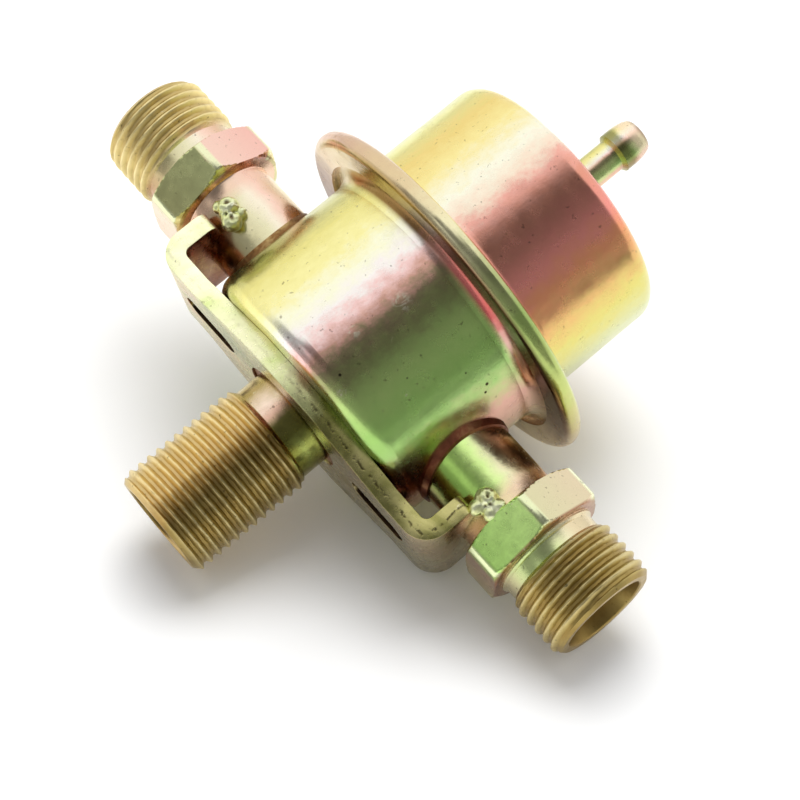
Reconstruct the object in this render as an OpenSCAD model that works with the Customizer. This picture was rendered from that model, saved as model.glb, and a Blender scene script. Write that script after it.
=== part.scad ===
// Fuel pressure regulator: two drawn cups rolled together at a wide flange, two side unions,
// a threaded return stub through a folded bracket, and a spring-loaded diaphragm valve inside.
// Millimetres, +Z up. The origin is on the can axis at the underside of the bracket.

/* [Threads] */
// major diameter of the three male threads
thread_d = 16; // [15:0.1:16.8]
// pitch of the three male threads
thread_pitch = 1.5; // [1:0.25:1.5]

/* [Unions] */
// distance of each union end from the can axis
union_reach = 47; // [42:0.5:56]
// height of the union axis above the underside of the fuel cup
union_h = 10.2; // [9.8:0.1:11]
// diameter of the plain tube that enters the fuel cup
union_tube_d = 13.5; // [12.5:0.1:13.8]
// hexagon across flats
union_hex = 17; // [16.8:0.1:20]
// turn of the hexagon about the union axis
hex_turn = 4.5; // [0:0.5:30]
// length of the hexagon
union_hex_l = 5.8; // [5:0.1:7]
// length of the union thread, from the union's end
union_thread_l = 8.7; // [7:0.1:10]
// length of the relief behind the union thread
union_neck_l = 2.3; // [1.5:0.1:3]
// height of the round collar on the hexagon's outer face, over the relief
union_collar = 0.4; // [0.2:0.05:0.8]
// diameter of the passage through a union
union_bore = 8; // [6:0.25:9]
// width of the plain rim around the sealing cone at a threaded end
mouth_rim = 1.1; // [0.6:0.1:2]
// included angle of the sealing cone
cone_angle = 24; // [24:2:60]

/* [Fuel cup] */
// outside diameter of the fuel cup
cup_d = 39.1; // [35:0.1:43]
// sheet thickness of the fuel cup
cup_t = 0.9; // [0.7:0.1:1.2]
// height of the fuel cup from its underside to the top of its flange
cup_h = 24.1; // [23.6:0.1:27]
// outer radius of the drawn bottom edge
cup_edge_r = 2.5; // [1.8:0.1:3.2]

/* [Spring cover] */
// outside diameter of the spring cover
cover_d = 38.5; // [36:0.1:41]
// sheet thickness of the spring cover
cover_t = 0.7; // [0.6:0.1:0.9]
// height of the spring cover above the diaphragm
cover_h = 20.2; // [18.5:0.1:24]
// outer radius of the drawn top edge
cover_edge_r = 2.5; // [1.8:0.1:3.2]
// outside diameter of the rolled flange
flange_d = 52.8; // [49:0.1:58]
// width of the lip rolled under the fuel cup's flange
lip_w = 4.4; // [2.2:0.1:4.6]
// outer radius of the roll
roll_r = 1.3; // [1.1:0.05:1.3]
// radius between each can wall and its flange
draw_r = 2.2; // [1.2:0.1:2.3]

/* [Vacuum nipple] */
// diameter of the nipple shank
nipple_d = 4.7; // [3.8:0.1:5]
// largest diameter of the hose bulb
bulb_d = 5.9; // [5.4:0.1:6.6]
// length of the nipple above the cover
nipple_l = 13.8; // [11:0.1:18]
// length of the hose bulb
bulb_l = 4.8; // [4:0.1:6]
// length of the widest part of the hose bulb
bulb_land = 1.4; // [1:0.1:1.6]
// radius of the nipple's open end
tip_r = 2.1; // [1.4:0.05:2.3]
// diameter of the nipple passage
nipple_bore = 2.4; // [1.6:0.1:2.6]

/* [Return stub] */
// length of the stub below the bracket
stub_reach = 22.6; // [20:0.1:28]
// length of the stub's plain neck below the bracket
stub_neck_l = 3.8; // [3.4:0.1:6]
// diameter of the stub's plain shank
stub_shank_d = 14.2; // [13.6:0.1:14.3]
// diameter of the return passage
stub_bore = 8; // [6:0.25:8.2]
// depth of the braze below the bracket's underside
collar_recess = 0.4; // [0:0.1:1]

/* [Bracket] */
// thickness of the folded strip
bracket_t = 2.8; // [2.4:0.1:3.4]
// width of each upright ear
ear_w = 16; // [15:0.1:18]
// largest width of the plate around the stub
plate_w = 26.4; // [23.5:0.1:30]
// inner radius of each fold
bend_r = 1; // [0.6:0.1:1.8]
// radius of an ear's upper corners
ear_corner_r = 1.6; // [0.8:0.1:2.2]
// half length of the bracket's widest stretch
plate_flat = 6; // [4:0.5:9]
// length of a slot that lies in the narrow end of the strip
taper_gap = 3; // [2:0.5:5]
// room between the fuel cup's wall and each ear
ear_room = 5.2; // [4.4:0.1:6.5]
// free length of tube between an ear and the hexagon
ear_gap = 2.3; // [1.5:0.1:3]
// height of an ear above the bottom of the tube that it carries
ear_lap = 2.3; // [1.6:0.05:2.8]
// width of each mounting slot
slot_w = 4.2; // [3:0.1:6]
// overall length of each mounting slot
slot_l = 10.2; // [8:0.1:12]
// gap around the stub's thread where it passes through the bracket
hole_play = 0.3; // [0.2:0.05:0.6]
// strip left between a slot and the fold
slot_web = 1.25; // [0.6:0.05:1.8]

/* [Joining metal] */
// height of the braze fillet at the end of the tube inside the fuel cup
braze_w = 1; // [0.6:0.1:1.8]
// height of the braze fillet at its outer edge
braze_edge = 0.3; // [0.2:0.05:0.5]
// length of the braze fillet beyond the fuel cup's wall
braze_l = 0.9; // [0.6:0.1:2.4]
// radius of a weld bead
weld_r = 1.95; // [1.6:0.05:2.3]
// length of a weld bead
weld_l = 4.4; // [3.6:0.1:5]

/* [Diaphragm and main spring] */
// thickness of the diaphragm
diaphragm_t = 0.4; // [0.3:0.1:0.6]
// drop of the diaphragm's centre below its clamped rim
dish = 2.9; // [2.6:0.1:3.1]
// wire diameter of the main spring
spring_wire = 2.6; // [2:0.1:2.8]
// mean coil diameter of the main spring
spring_d = 22; // [20:0.1:23]
// number of coils of the main spring
spring_turns = 4; // [4:0.5:5]
// sheet thickness of the two spring seats
spring_seat_t = 1; // [0.8:0.1:1.2]
// height of the rim of each spring seat
spring_rim_h = 2.5; // [1.8:0.1:3]

/* [Valve] */
// thickness of the washer under the diaphragm
washer_t = 0.8; // [0.6:0.1:1]
// diameter of the washer under the diaphragm
washer_d = 20; // [17:0.5:22]
// diameter of the valve holder
holder_d = 11; // [10:0.1:12]
// length of the valve holder below the washer
holder_l = 2.6; // [2.4:0.1:2.8]
// diameter of the holder's rivet shank
rivet_d = 7.2; // [7:0.1:8]
// thickness of the riveted head
rivet_head_t = 1; // [0.9:0.1:1.4]
// diameter of the ball
ball_d = 4.5; // [4.4:0.05:4.6]
// diameter of the valve plate
valve_plate_d = 9; // [8.6:0.1:10]
// thickness of the valve plate
valve_plate_t = 1; // [0.8:0.1:1.4]
// outside diameter of the seat's raised rim
seat_d = 8; // [7:0.1:8.4]
// diameter of the hole in the valve seat
seat_bore = 5; // [4:0.1:5.5]
// diameter of the part of the seat that is pressed into the stub
seat_press_d = 9; // [8.6:0.1:10]
// length of the part of the seat that is pressed into the stub
seat_press_l = 4; // [3:0.1:6]

/* [Clearances] */
// gap left between the closed valve plate and its seat
valve_gap = 0.05; // [0.02:0.01:0.2]
// gap between the valve plate and its holder
plate_play = 0.3; // [0.2:0.05:0.5]
// gap around the ball in its holder
ball_play = 0.1; // [0.05:0.01:0.15]
// gap around a spring inside its rim or bore
spring_play = 0.15; // [0.1:0.05:0.3]

/* [Hidden] */
$fn = 96;
thread_r = thread_d / 2;
thread_root_r = thread_r - 0.6134 * thread_pitch;
mouth_d = 2 * (thread_root_r - mouth_rim);
tube_r = union_tube_d / 2;
cup_r = cup_d / 2;
cover_r = cover_d / 2;
flange_r = flange_d / 2;
clamp_r = flange_r - roll_r;
shank_r = stub_shank_d / 2;
hole_r = thread_r + hole_play;
spring_r = spring_d / 2;
ball_r = ball_d / 2;
rivet_r = rivet_d / 2;

// levels
z_cup = bracket_t;
z_axis = z_cup + union_h;
z_flange = z_cup + cup_h;
z_cover = z_flange + diaphragm_t;
z_lip = z_flange - cup_t - cover_t;
z_top = z_cover + cover_h;
z_tip = z_top + nipple_l;
z_dia = z_flange - dish;
z_holder = z_dia - washer_t;
z_holder_end = z_holder - holder_l;
z_plate = z_holder_end - plate_play;
z_seat = z_plate - valve_plate_t - valve_gap;
z_ball = z_plate + 0.71 * ball_r;
z_spring_seat = z_dia + diaphragm_t;
z_spring = z_spring_seat + spring_seat_t;
z_cap = z_top - cover_t - spring_seat_t;
seat_head = 1;
seat_rim = 1;
z_stub_top = z_seat - seat_rim - seat_head;

// union stations along its own axis
x_ear = cup_r + ear_room;
x_ear_out = x_ear + bracket_t;
x_hex = x_ear_out + ear_gap;
x_hex_out = x_hex + union_hex_l;
x_thread = union_reach - union_thread_l;
x_relief = x_thread - union_neck_l;
wall_in = cup_r - cup_t;
x_tube_end = sqrt(wall_in * wall_in - tube_r * tube_r) - 0.4;
hex_corner_r = union_hex / sqrt(3);
hex_chamfer = 0.9 * (hex_corner_r - union_hex / 2) * tan(30);
cone_l = max(0, mouth_d - union_bore) / 2 / tan(cone_angle / 2);
stub_cone_l = max(0, mouth_d - stub_bore) / 2 / tan(cone_angle / 2);
z_ear = z_axis - tube_r + ear_lap;
fold_r = bend_r + bracket_t;
slot_out = x_ear - bend_r - slot_web;
slot_in = slot_out - slot_l;
braze_end = cup_r + braze_l;

// spring seats
seat_cup_r = spring_r + spring_wire / 2 + spring_play + spring_seat_t;
ring_h = 0.8;
ring_r = ball_r + 1.35;
ball_bore_top = z_ball + ball_r + 0.15;
small_wire = 0.4;
small_r = 1.3;
small_bore_r = small_r + small_wire / 2 + spring_play;
z_small = z_ball + sqrt(ball_r * ball_r - pow(small_r - small_wire / 2, 2)) + 0.02;
z_small_top = z_spring + rivet_head_t - 0.6;

steel = [0.78, 0.72, 0.46];
thread_tan = [0.66, 0.56, 0.38];
braze_brown = [0.55, 0.36, 0.25];
bright = [0.75, 0.76, 0.78];
rubber = [0.16, 0.16, 0.17];
brass = [0.79, 0.64, 0.32];

// Helpers

// filled half section of a cup with a rounded lower corner
module cup_half(r, z0, z1, edge) {
    translate([0, z0])
        square([r - edge, z1 - z0]);
    translate([0, z0 + edge])
        square([r, z1 - z0 - edge]);
    translate([r - edge, z0 + edge])
        circle(edge);
}

// right half of the drawing plane
module right_half() {
    translate([0, -100])
        square([100, 300]);
}

// the fuel cup as a filled body, used to trim the joining metal
module cup_filled() {
    rotate_extrude()
        intersection() {
            cup_half(cup_r, z_cup, z_flange - cup_t, cup_edge_r);
            right_half();
        }
}

// lays a piece turned about Z along the union axis, +X outward
module on_union_axis(side) {
    translate([0, 0, z_axis])
        rotate([0, side * 90, 0])
            children();
}

// coil of round wire as a twisted strip, flat at both ends
module coil(mean_r, wire, height, turns, steps, n) {
    pitch = height / turns;
    half = 180 * wire / pitch;
    outer = [for (i = [0:n]) let (a = -half + 2 * half * i / n,
        w = max(0.02, wire / 2 * sqrt(max(0, 1 - pow(a / half, 2)))))
        [(mean_r + w) * cos(a), (mean_r + w) * sin(a)]];
    inner = [for (i = [n:-1:0]) let (a = -half + 2 * half * i / n,
        w = max(0.02, wire / 2 * sqrt(max(0, 1 - pow(a / half, 2)))))
        [(mean_r - w) * cos(a), (mean_r - w) * sin(a)]];
    linear_extrude(height = height, twist = -360 * turns, slices = steps * turns, $fn = 2 * n + 2)
        polygon(concat(outer, inner));
}

// Bracket

module fold_quarter(side) {
    intersection() {
        difference() {
            circle(fold_r);
            circle(bend_r);
        }
        translate([side > 0 ? 0 : -fold_r, -fold_r])
            square(fold_r);
    }
}

module bracket_section() {
    flat = x_ear - bend_r;
    translate([-flat, 0])
        square([2 * flat, bracket_t]);
    for (side = [-1, 1]) {
        translate([side * flat, bend_r + bracket_t])
            fold_quarter(side);
        translate([side > 0 ? x_ear : -x_ear_out, bend_r + bracket_t])
            square([bracket_t, z_ear - bend_r - bracket_t]);
    }
}

module bracket_outline() {
    xa = plate_flat;
    xb = slot_out - taper_gap;
    xc = x_ear_out + 1;
    p = plate_w / 2;
    e = ear_w / 2;
    polygon([[-xc, -e], [-xb, -e], [-xa, -p], [xa, -p], [xb, -e], [xc, -e],
        [xc, e], [xb, e], [xa, p], [-xa, p], [-xb, e], [-xc, e]]);
}

module slot() {
    r = slot_w / 2;
    translate([slot_in + r, 0])
        circle(r);
    translate([slot_out - r, 0])
        circle(r);
    translate([slot_in + r, -r])
        square([slot_l - 2 * r, slot_w]);
}

// what is cut away outside the round upper corners of both ears
module ear_corner_cut() {
    r = ear_corner_r;
    translate([-x_hex, 0, 0])
        rotate([90, 0, 90])
            linear_extrude(2 * x_hex)
                for (side = [0, 1])
                    mirror([side, 0])
                        translate([ear_w / 2 - r, z_ear - r])
                            difference() {
                                square(r + 1);
                                circle(r);
                            }
}

module bracket() {
    color(steel)
    difference() {
        intersection() {
            translate([0, plate_w, 0])
                rotate([90, 0, 0])
                    linear_extrude(2 * plate_w)
                        bracket_section();
            translate([0, 0, -1])
                linear_extrude(z_ear + 2)
                    bracket_outline();
        }
        translate([0, 0, -1])
            cylinder(r = hole_r, h = bracket_t + 2);
        for (side = [0, 1])
            mirror([side, 0, 0])
                translate([0, 0, -1])
                    linear_extrude(bracket_t + 2)
                        slot();
        translate([-x_hex, 0, z_axis])
            rotate([0, 90, 0])
                cylinder(r = tube_r, h = 2 * x_hex);
        ear_corner_cut();
    }
}

// Cans

module fuel_cup() {
    fx = cup_r + draw_r;
    fz = z_flange - cup_t - draw_r;
    color(steel)
    difference() {
        rotate_extrude()
            intersection() {
                right_half();
                difference() {
                    union() {
                        cup_half(cup_r, z_cup, z_flange, cup_edge_r);
                        translate([cup_r - 0.5, z_flange - cup_t])
                            square([clamp_r - cup_r + 0.5, cup_t]);
                        translate([cup_r - 0.5, fz])
                            square([draw_r + 0.5, draw_r + cup_t]);
                    }
                    cup_half(wall_in, z_cup + cup_t, z_flange + 1, cup_edge_r - cup_t + 0.3);
                    translate([fx, fz])
                        circle(draw_r);
                    difference() {
                        translate([wall_in - 0.5, fz])
                            square([draw_r + cup_t + 0.5, draw_r + cup_t + 0.01]);
                        translate([fx, fz])
                            circle(draw_r + cup_t);
                    }
                }
            }
        translate([0, 0, z_cup - 1])
            cylinder(r = shank_r, h = cup_t + 2);
        translate([-cup_r - 1, 0, z_axis])
            rotate([0, 90, 0])
                cylinder(r = tube_r, h = cup_d + 2);
    }
}

module spring_cover() {
    fx = cover_r + draw_r;
    fz = z_cover + cover_t + draw_r;
    color(steel)
    difference() {
        rotate_extrude()
            intersection() {
                right_half();
                difference() {
                    union() {
                        translate([0, z_top + z_cover])
                            mirror([0, 1])
                                cup_half(cover_r, z_cover, z_top, cover_edge_r);
                        translate([cover_r - 0.5, z_cover])
                            square([clamp_r - cover_r + 0.5, cover_t]);
                        translate([cover_r - 0.5, z_cover])
                            square([draw_r + 0.5, draw_r + cover_t]);
                        translate([flange_r - lip_w, z_lip])
                            square([lip_w - roll_r, cover_t]);
                        roll_section();
                    }
                    translate([0, z_top + z_cover - cover_t - 1])
                        mirror([0, 1])
                            translate([0, -1])
                                cup_half(cover_r - cover_t, z_cover, z_top, cover_edge_r - cover_t + 0.3);
                    translate([fx, fz])
                        circle(draw_r);
                    difference() {
                        translate([cover_r - cover_t - 0.5, z_cover - 0.01])
                            square([draw_r + cover_t + 0.5, draw_r + cover_t + 0.01]);
                        translate([fx, fz])
                            circle(draw_r + cover_t);
                    }
                }
            }
        translate([0, 0, z_top - cover_t - 1])
            cylinder(r = nipple_d / 2, h = cover_t + 2);
    }
}

// outer edge of the flange, rolled over the clamped rims
module roll_section() {
    intersection() {
        difference() {
            union() {
                translate([clamp_r, z_lip + roll_r])
                    circle(roll_r);
                translate([clamp_r, z_cover + cover_t - roll_r])
                    circle(roll_r);
                translate([clamp_r, z_lip + roll_r])
                    square([roll_r, z_cover + cover_t - z_lip - 2 * roll_r]);
            }
            translate([clamp_r, z_lip + roll_r])
                circle(roll_r - cover_t);
            translate([clamp_r, z_cover + cover_t - roll_r])
                circle(roll_r - cover_t);
            translate([clamp_r - 1, z_lip + roll_r])
                square([1 + roll_r - cover_t, z_cover + cover_t - z_lip - 2 * roll_r]);
        }
        translate([clamp_r, z_lip - 1])
            square([roll_r + 1, z_cover - z_lip + cover_t + 2]);
    }
}

// Vacuum nipple

module vacuum_nipple() {
    base_w = 0.6;
    s = nipple_d / 2;
    b = bulb_d / 2;
    z_flare = z_tip - bulb_l;
    z_land = z_flare + 0.8 * (b - s);
    z_round = z_land + bulb_land;
    arc = [for (a = [0:10:90]) [tip_r + (b - tip_r) * cos(a), z_round + (z_tip - z_round) * sin(a)]];
    color(steel)
    difference() {
        rotate_extrude()
            polygon(concat([[0, z_top - cover_t], [s, z_top - cover_t], [s, z_top],
                [s + base_w, z_top], [s, z_top + base_w], [s, z_flare], [b, z_land]], arc, [[0, z_tip]]));
        translate([0, 0, z_top - cover_t - 1])
            cylinder(d = nipple_bore, h = nipple_l + cover_t + 2);
    }
}

// Return stub

module return_stub() {
    ch = thread_r - thread_root_r;
    z_end = -stub_reach;
    z_neck = -stub_neck_l;
    color(thread_tan)
    difference() {
        rotate_extrude()
            polygon([[0, z_end], [thread_root_r, z_end], [thread_r, z_end + ch],
                [thread_r, z_neck - (thread_r - shank_r)], [shank_r, z_neck],
                [shank_r, z_stub_top], [0, z_stub_top]]);
        translate([0, 0, z_end - 1])
            cylinder(d = stub_bore, h = z_stub_top + stub_reach + 2);
        translate([0, 0, z_end - 0.01])
            cylinder(d1 = mouth_d, d2 = stub_bore, h = stub_cone_l);
        translate([0, 0, z_stub_top - seat_press_l])
            cylinder(d = seat_press_d, h = seat_press_l + 1);
    }
}

module valve_seat() {
    color(brass)
    difference() {
        union() {
            translate([0, 0, z_stub_top - seat_press_l])
                cylinder(d = seat_press_d, h = seat_press_l);
            translate([0, 0, z_stub_top])
                cylinder(d = seat_press_d + 2, h = seat_head);
            translate([0, 0, z_stub_top + seat_head])
                cylinder(d1 = seat_d + 1, d2 = seat_d, h = seat_rim);
        }
        translate([0, 0, z_stub_top - seat_press_l - 1])
            cylinder(d = seat_bore, h = seat_press_l + seat_head + seat_rim + 2);
    }
}

// Unions

module union_body(turn) {
    ch = thread_r - thread_root_r;
    difference() {
        union() {
            translate([0, 0, x_tube_end])
                cylinder(r = tube_r, h = x_hex - x_tube_end);
            translate([0, 0, x_hex])
                cylinder(r = thread_root_r + union_collar, h = x_relief - x_hex);
            rotate_extrude()
                polygon([[0, x_hex], [thread_root_r, x_hex], [thread_root_r, x_thread - ch],
                    [thread_r, x_thread], [thread_r, union_reach - ch], [thread_root_r, union_reach],
                    [0, union_reach]]);
            intersection() {
                translate([0, 0, x_hex])
                    rotate([0, 0, 90 + turn])
                        cylinder(r = hex_corner_r, h = union_hex_l, $fn = 6);
                rotate_extrude()
                    polygon([[0, x_hex], [hex_corner_r - hex_chamfer / tan(30), x_hex],
                        [hex_corner_r, x_hex + hex_chamfer], [hex_corner_r, x_hex_out - hex_chamfer],
                        [hex_corner_r - hex_chamfer / tan(30), x_hex_out], [0, x_hex_out]]);
            }
        }
        translate([0, 0, x_tube_end - 1])
            cylinder(d = union_bore, h = union_reach - x_tube_end + 2);
        translate([0, 0, union_reach - cone_l])
            cylinder(d1 = union_bore, d2 = mouth_d, h = cone_l + 0.001);
    }
}

module union_left() {
    color(thread_tan)
        on_union_axis(-1)
            union_body(hex_turn);
}

module union_right() {
    color(thread_tan)
        on_union_axis(1)
            union_body(-hex_turn);
}

// Joining metal

module braze(side) {
    color(braze_brown)
    difference() {
        intersection() {
            on_union_axis(side)
                translate([0, 0, x_tube_end])
                    cylinder(r1 = tube_r + braze_w, r2 = tube_r + braze_edge, h = braze_end - x_tube_end);
            translate([0, 0, z_axis - union_tube_d])
                cylinder(r = braze_end, h = 2 * union_tube_d);
        }
        on_union_axis(side)
            cylinder(r = tube_r, h = x_hex);
        cup_filled();
    }
}

module braze_left() {
    braze(-1);
}

module braze_right() {
    braze(1);
}

// ring of braze between the stub and the hole in the bracket
module braze_collar() {
    color(braze_brown)
    difference() {
        translate([0, 0, collar_recess])
            cylinder(r = hole_r, h = bracket_t - collar_recess);
        cylinder(r = shank_r, h = bracket_t + 1);
    }
}

// bead along the top of an ear, from its inner face towards the hexagon
module weld(side, face) {
    r = weld_r;
    len = weld_l;
    zc = z_ear + 0.8 * r;
    yc = face * (sqrt(pow(tube_r, 2) - pow(z_axis - zc, 2)) + 0.6 * r);
    x0 = x_ear - 0.1 * r;
    color(steel)
    difference() {
        translate([side * x0, yc, zc])
            rotate([0, side * 90, 0])
                rotate_extrude()
                    polygon([[0, 0], [0.55 * r, 0], [0.86 * r, 0.25 * r], [r, 0.7 * r], [r, len - 0.9 * r],
                        [0.9 * r, len - 0.4 * r], [0.62 * r, len], [0, len]]);
        on_union_axis(side)
            cylinder(r = tube_r, h = union_reach);
        difference() {
            translate([side > 0 ? x_ear : -x_ear_out, -plate_w, 0])
                cube([bracket_t, 2 * plate_w, z_ear]);
            ear_corner_cut();
        }
    }
}

module weld_left_front() {
    weld(-1, -1);
}

module weld_left_back() {
    weld(-1, 1);
}

module weld_right_front() {
    weld(1, -1);
}

module weld_right_back() {
    weld(1, 1);
}

// Diaphragm and valve

module diaphragm() {
    r_in = seat_cup_r + 0.3;
    r_out = cup_r + 0.6;
    t = diaphragm_t;
    color(rubber)
        rotate_extrude()
            polygon([[rivet_r, z_dia], [r_in, z_dia], [r_out, z_flange], [clamp_r, z_flange],
                [clamp_r, z_flange + t], [r_out - 0.2, z_flange + t], [r_in - 0.2, z_dia + t],
                [rivet_r, z_dia + t]]);
}

module clamp_washer() {
    color(bright)
        translate([0, 0, z_holder])
            difference() {
                cylinder(d = washer_d, h = washer_t);
                translate([0, 0, -1])
                    cylinder(r = rivet_r, h = washer_t + 2);
            }
}

// pressed dish that centres the main spring
module spring_dish() {
    difference() {
        cylinder(r = seat_cup_r, h = spring_seat_t + spring_rim_h);
        translate([0, 0, spring_seat_t])
            cylinder(r = seat_cup_r - spring_seat_t, h = spring_rim_h + 1);
    }
}

module spring_plate() {
    color(bright)
        translate([0, 0, z_spring_seat])
            difference() {
                spring_dish();
                translate([0, 0, -1])
                    cylinder(r = rivet_r, h = spring_seat_t + 2);
            }
}

module spring_cap() {
    color(bright)
        translate([0, 0, z_top - cover_t])
            mirror([0, 0, 1])
                difference() {
                    spring_dish();
                    translate([0, 0, -1])
                        cylinder(r = nipple_d / 2 + 0.5, h = spring_seat_t + 2);
                }
}

module valve_holder() {
    color(bright)
    difference() {
        union() {
            translate([0, 0, z_holder_end])
                cylinder(d = holder_d, h = holder_l);
            translate([0, 0, z_holder])
                cylinder(r = rivet_r, h = z_spring - z_holder);
            translate([0, 0, z_spring])
                cylinder(r1 = rivet_r + 1.4, r2 = rivet_r + 0.8, h = rivet_head_t);
        }
        translate([0, 0, z_holder_end - 1])
            cylinder(r = ring_r, h = ring_h + 1);
        translate([0, 0, z_holder_end])
            cylinder(r = ball_r + ball_play, h = ball_bore_top - z_holder_end);
        translate([0, 0, ball_bore_top - 0.1])
            cylinder(r = small_bore_r, h = z_small_top - ball_bore_top + 0.1);
    }
}

// ring that keeps the ball in the holder
module retaining_ring() {
    d0 = z_ball - z_holder_end;
    d1 = d0 - ring_h;
    color(bright)
        translate([0, 0, z_holder_end])
            difference() {
                cylinder(r = ring_r, h = ring_h);
                translate([0, 0, -0.001])
                    cylinder(r1 = sqrt(ball_r * ball_r - d0 * d0) + ball_play + 0.12,
                        r2 = sqrt(ball_r * ball_r - d1 * d1) + ball_play, h = ring_h + 0.002);
            }
}

module valve_plate() {
    color(bright)
        translate([0, 0, z_plate - valve_plate_t])
            cylinder(d = valve_plate_d, h = valve_plate_t);
}

// ball with a flat that carries the valve plate
module valve_ball() {
    color(bright)
    difference() {
        translate([0, 0, z_ball])
            sphere(ball_r);
        translate([-ball_d, -ball_d, z_plate - ball_d])
            cube([2 * ball_d, 2 * ball_d, ball_d]);
    }
}

module ball_spring() {
    color(bright)
        translate([0, 0, z_small])
            coil(small_r, small_wire, z_small_top - z_small, 3, 16, 6);
}

module main_spring() {
    color(bright)
        translate([0, 0, z_spring])
            coil(spring_r, spring_wire, z_cap - z_spring, spring_turns, 26, 8);
}

bracket();
fuel_cup();
spring_cover();
vacuum_nipple();
return_stub();
valve_seat();
union_left();
union_right();
braze_left();
braze_right();
braze_collar();
weld_left_front();
weld_left_back();
weld_right_front();
weld_right_back();
diaphragm();
clamp_washer();
spring_plate();
valve_holder();
retaining_ring();
valve_plate();
valve_ball();
ball_spring();
main_spring();
spring_cap();
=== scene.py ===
import math

import bmesh
import bpy
from mathutils import Euler, Matrix, Vector, noise


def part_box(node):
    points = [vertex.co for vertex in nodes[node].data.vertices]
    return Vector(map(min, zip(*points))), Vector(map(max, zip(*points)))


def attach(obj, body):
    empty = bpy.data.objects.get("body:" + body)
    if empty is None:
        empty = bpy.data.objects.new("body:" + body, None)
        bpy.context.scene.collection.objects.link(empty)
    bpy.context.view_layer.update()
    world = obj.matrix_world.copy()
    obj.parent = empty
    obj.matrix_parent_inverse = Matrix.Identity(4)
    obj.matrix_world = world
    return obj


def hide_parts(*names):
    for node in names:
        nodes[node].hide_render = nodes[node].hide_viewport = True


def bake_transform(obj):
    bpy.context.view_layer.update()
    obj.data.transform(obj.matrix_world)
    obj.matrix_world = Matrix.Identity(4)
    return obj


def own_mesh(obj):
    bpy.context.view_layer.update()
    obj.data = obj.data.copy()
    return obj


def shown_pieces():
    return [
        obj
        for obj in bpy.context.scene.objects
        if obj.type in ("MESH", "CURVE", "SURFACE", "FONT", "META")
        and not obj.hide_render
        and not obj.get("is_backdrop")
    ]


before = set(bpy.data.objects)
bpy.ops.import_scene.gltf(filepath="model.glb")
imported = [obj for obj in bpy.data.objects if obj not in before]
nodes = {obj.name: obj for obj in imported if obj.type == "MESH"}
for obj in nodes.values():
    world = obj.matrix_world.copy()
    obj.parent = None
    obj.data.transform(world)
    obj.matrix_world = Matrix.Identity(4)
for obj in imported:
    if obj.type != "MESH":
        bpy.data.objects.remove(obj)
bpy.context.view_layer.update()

scene = bpy.context.scene
MM = 0.001


def corner(node, high, axis):
    """One coordinate of a node's box, in millimetres."""
    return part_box(node)[1 if high else 0][axis] / MM


# Sizes in millimetres, angles in degrees. Ends come from the frame, most others are the part's own sizes.

# Threads, with grooves shallower than the root
THREAD_R = 8.0
PITCH = 1.5
DEPTH_PER_PITCH = 0.6134
ROOT_R = THREAD_R - DEPTH_PER_PITCH * PITCH
GROOVE = 0.55
CREST_SHARE = 0.14
ROOT_SHARE = 0.74
THREAD_START = 0.3

# Wear on the threads: its depth, and how fast it changes round and along them
WEAR = 0.03
WEAR_ROUND = 3
WEAR_ALONG = 0.8

# Bores and their mouths
BORE_R = 4.0
MOUTH_RIM = 1.1
MOUTH_R = ROOT_R - MOUTH_RIM
MOUTH_ANGLE = 12
CONE_L = (MOUTH_R - BORE_R) / math.tan(math.radians(MOUTH_ANGLE))

# Unions, with places along X
TUBE_R = 6.75
HEX_FLAT = 17.0
HEX_TIP = HEX_FLAT / math.sqrt(3)
HEX_TURN = 4.5
HEX_BREAK = 0.2
CHAMFER_ANGLE = 30
CHAMFER_SHARE = 0.9
COLLAR_STEP = 0.4
COLLAR_R = ROOT_R + COLLAR_STEP
X_HEX = 29.85
X_HEX_OUT = 35.65
X_RELIEF = 36.0
X_THREAD = 38.3
REACH = corner("union_right", True, 0)
TUBE_END = corner("union_right", False, 0)
Z_AXIS = (corner("union_right", True, 2) + corner("union_right", False, 2)) / 2

# Return stub
STUB_END = corner("return_stub", False, 2)
STUB_TOP = corner("return_stub", True, 2)
STUB_NECK = -3.8
SHANK_R = 7.1
SEAT_R = 4.5
SEAT_L = 4.0

# Bracket
X_EAR_OUT = corner("bracket", True, 0)
Z_EAR = corner("bracket", True, 2)
SLOT_HALF = 2.1
BRACKET_BREAK = 0.22

# Welds: radius, and the bead's middle above the ear and out of the tube as shares of it
WELD_R = 1.95
WELD_UP = 0.8
WELD_OUT = 0.6
WELD_X = (corner("weld_right_front", True, 0) + corner("weld_right_front", False, 0)) / 2

# Can, nipple and diaphragm
CUP_R = 19.55
FILLET_IN = 19.57
FLANGE_IN = 21.9
TOP_R = 16.0
BULB_L = 4.8
BULB_FOOT = corner("vacuum_nipple", True, 2) - BULB_L

# Meshes: unit of the small broken corners, and how finely each stretch is divided
SOFT = 0.1
LATHE_STEPS = 216
ROWS_PER_PITCH = 20
CHAMFER_ROWS = 4
TUBE_ROWS = 6
SHANK_ROWS = 12
BEAD_LEVELS = 6


# Meshes

def new_object(name, mesh, smooth_angle=32):
    """Object of a mesh, smooth apart from edges sharper than an angle."""
    for p in mesh.polygons:
        p.use_smooth = True
    mesh.set_sharp_from_angle(angle=math.radians(smooth_angle))
    mesh.update()
    obj = bpy.data.objects.new(name, mesh)
    scene.collection.objects.link(obj)
    return obj


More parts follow.
